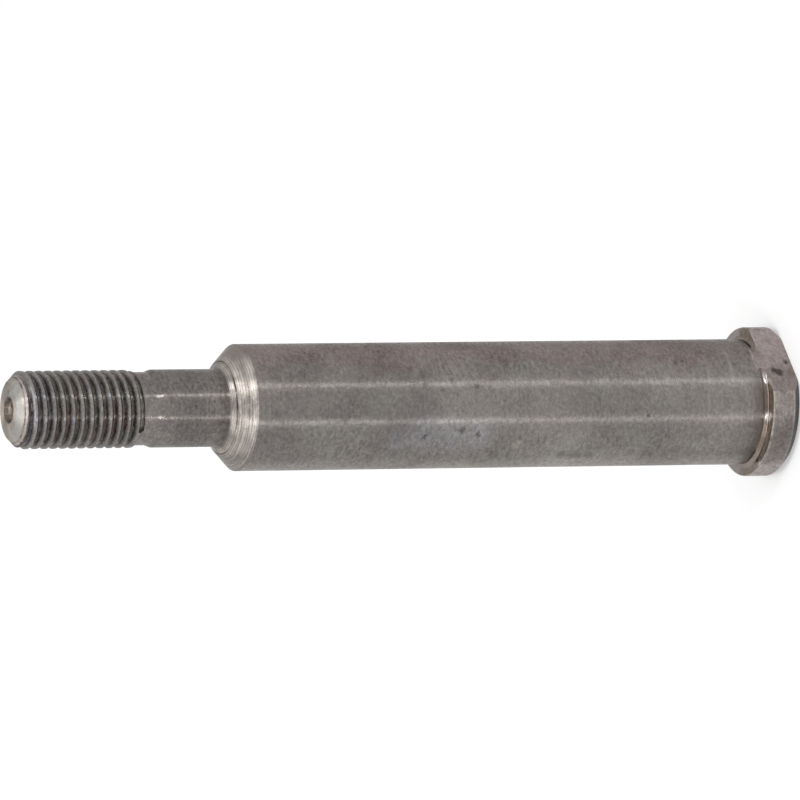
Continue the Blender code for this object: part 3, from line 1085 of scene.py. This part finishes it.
def flat_steel():
    """The milled flat, pinkish grey with dark brown pits."""
    steel = Steel("flat_steel")
    height = steel.height()
    film = steel.between(steel.film(260.0, 9.0), 0.45, 0.65, 0.0, 0.6)
    colour = steel.mix(film, FLAT_TONE, BROWN_TONE)
    across = steel.math("ABSOLUTE", steel.towards(FLAT_ACROSS))
    open_edge = steel.band(height, SEAT, 0.4 * MM, 1.4 * MM)
    open_edge = steel.times(open_edge, steel.between(across, 5.5 * MM, 7 * MM))
    lighter = steel.between(height, SEAT - 1.2 * MM, SEAT - 0.3 * MM, 1.0, 1.2)
    colour = steel.mix(open_edge, colour, steel.scaled(colour, lighter))
    colour = steel.shaded(colour, steel.towards(FLAT_DARK_SIDE), FLAT_SHADES)
    colour = steel.worn(colour, 0.6, 0.6, 0.15)
    colour = steel.spotted(colour, SMUDGE_TONE, 0.6, FLAT_SPOT_RADIUS, FLAT_SMUDGES, 0.2)
    colour = steel.spotted(colour, PIT_TONE, 0.9, FLAT_SPOT_RADIUS, FLAT_PITS)
    return steel.finish(colour, 0.5, 0.0, grain=0.05, edge=HEAD_EDGE_TINT)


FINISHES = {
    "shank": shank_steel,
    "neck": neck_steel,
    "shoulder": shoulder_steel,
    "end": end_steel,
    "thread": thread_steel,
    "undercut": undercut_steel,
    "head": head_steel,
    "flat": flat_steel,
}


def make_pin():
    """The turned piece with its flat and thread cut, each face in the finish of its zone."""
    outline = end_outline() + neck_outline() + shank_outline() + head_outline()
    pin = profile_object("pin_surface", outline, False)
    add_screw(pin, 2 * math.pi, 0, TURN_STEPS)
    bake_modifiers(pin)
    cutters = [flat_cutter(), thread_cutter()]
    for cutter in cutters:
        cut_away(pin, cutter)
    bake_modifiers(pin)
    for cutter in cutters:
        bpy.data.objects.remove(cutter)
    pin.data.shade_smooth()
    pin.data.set_sharp_from_angle(angle=SHARP_ANGLE)
    pin.data.use_auto_texspace = False
    pin.data.texspace_location = (0, 0, MOUTH_TOP / 2)
    pin.data.texspace_size = (HEAD_RADIUS, HEAD_RADIUS, MOUTH_TOP / 2)
    pin.data.materials.clear()
    slots = {}
    for name, made in FINISHES.items():
        slots[name] = len(slots)
        pin.data.materials.append(made())
    for face in pin.data.polygons:
        face.material_index = slots[zone_of(face.center, face.normal)]
    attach(pin, "root")
    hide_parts(NODE)


def background_share(graph):
    """1 for a ray that shows the background itself: seen directly, in metal or through glass."""
    path = graph.node("ShaderNodeLightPath").outputs
    seen = graph.math("MAXIMUM", path["Is Camera Ray"], path["Is Glossy Ray"])
    return graph.math("MAXIMUM", seen, path["Is Transmission Ray"])


def make_floor():
    """A white floor that keeps a faint shadow next to the pin."""
    shape = bmesh.new()
    bmesh.ops.create_grid(shape, x_segments=1, y_segments=1, size=FLOOR_HALF)
    floor = new_object("floor", mesh_of("floor", shape))
    graph = Graph(bpy.data.materials.new("floor_white"))
    inputs = graph.tree.nodes["Principled BSDF"].inputs
    inputs["Base Color"].default_value = FLOOR_COLOUR
    inputs["Roughness"].default_value = 1.0
    inputs["Specular IOR Level"].default_value = 0.0
    inputs["Emission Color"].default_value = WHITE
    graph.put(inputs["Emission Strength"], graph.times(background_share(graph), FLOOR_GLOW))
    floor.data.materials.append(graph.owner)


def make_world():
    """White where it is seen, and a softer fill where it lights the pin."""
    graph = Graph(bpy.data.worlds.new("studio"))
    inputs = graph.tree.nodes["Background"].inputs
    inputs["Color"].default_value = WHITE
    seen = background_share(graph)
    graph.put(inputs["Strength"], graph.between(seen, 0.0, 1.0, WORLD_FILL, 1.0))
    bpy.context.scene.world = graph.owner


def add_lamp(name, location, target, width, height, radiance):
    """A rectangular lamp with its beam towards target, given by its surface's brightness."""
    lamp = bpy.data.lights.new(name, "AREA")
    lamp.shape = "RECTANGLE"
    lamp.size = width
    lamp.size_y = height
    lamp.energy = radiance * math.pi * width * height
    beam = (Vector(target) - Vector(location)).to_track_quat("-Z", "Y")
    aimed = Matrix.Translation(location) @ beam.to_matrix().to_4x4()
    new_object(name, lamp).matrix_world = aimed


def make_lamps():
    """Two upright strips beside the camera and one broad lamp above."""
    middle = STRIP_HEIGHT / 2
    strips = (
        ("upper_strip", UPPER_TURN, UPPER_RADIANCE),
        ("lower_strip", LOWER_TURN, LOWER_RADIANCE),
    )
    for name, turn, radiance in strips:
        angle = VIEW_AZIMUTH + turn
        place = (STRIP_DISTANCE * math.cos(angle), STRIP_DISTANCE * math.sin(angle), middle)
        add_lamp(name, place, (0, 0, middle), STRIP_WIDTH, STRIP_HEIGHT, radiance)
    add_lamp("top_lamp", TOP_PLACE, (0, 0, MOUTH_TOP / 2), TOP_SIZE, TOP_SIZE, TOP_RADIANCE)


def make_camera():
    """The pin's top points left in the picture, whose upper side is PICTURE_TOP."""
    level = math.cos(VIEW_ELEVATION)
    back = Vector(
        (
            level * math.cos(VIEW_AZIMUTH),
            level * math.sin(VIEW_AZIMUTH),
            math.sin(VIEW_ELEVATION),
        )
    )
    up = Vector((-math.sin(VIEW_AZIMUTH), math.cos(VIEW_AZIMUTH), 0))
    up = Matrix.Rotation(VIEW_ROLL, 3, back) @ up
    right = up.cross(back)
    target = Vector((0, 0, VIEW_HEIGHT)) + up * VIEW_RAISE
    lens = bpy.data.cameras.new("camera")
    lens.sensor_width = SENSOR
    lens.lens = LENS
    lens.clip_start = CLIP_START
    lens.clip_end = CLIP_END
    axes = Matrix((right, up, back)).transposed().to_4x4()
    camera = new_object("camera", lens)
    camera.matrix_world = Matrix.Translation(target + back * VIEW_DISTANCE) @ axes
    bpy.context.scene.camera = camera


make_pin()
make_floor()
make_world()
make_lamps()
make_camera()
bpy.context.scene.view_settings.view_transform = "Standard"
